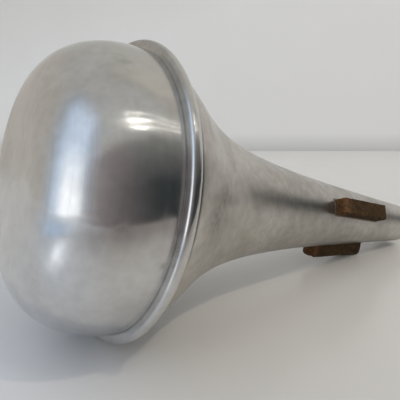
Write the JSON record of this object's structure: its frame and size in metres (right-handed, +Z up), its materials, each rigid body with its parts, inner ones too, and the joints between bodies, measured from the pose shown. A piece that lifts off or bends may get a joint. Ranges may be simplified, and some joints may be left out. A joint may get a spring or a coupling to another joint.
{
  "type": "trombone straight mute",
  "caption": "Straight mute for a tenor trombone: a flared shell of spun aluminium, a domed end cap locked on by a rolled rim, and cork strips round the open neck",
  "frame": {"origin": "on the floor, under the middle of the part's box, with the mute lying on its rim and its lowest cork", "axes": "+Z up, +X towards the open small end; the mute's own axis lies in the XZ plane and slopes down 12.7 degrees towards +X; -Y is the side with cork_front"},
  "size_m": [0.249, 0.1198, 0.117],
  "materials": {
    "aluminium_satin": "spun aluminium with a soft satin sheen, fine rings round the axis and small handling marks",
    "aluminium_polished": "spun aluminium, polished, with a slight haze and fine scratches",
    "cork": "dark brown used cork, matt and slightly crumbled at the edges"
  },
  "bodies": {
    "root": {"flare_body": "aluminium_satin", "end_cap": "aluminium_polished", "cork_bottom": "cork", "cork_front": "cork", "cork_rear": "cork"}
  },
  "joints": []
}
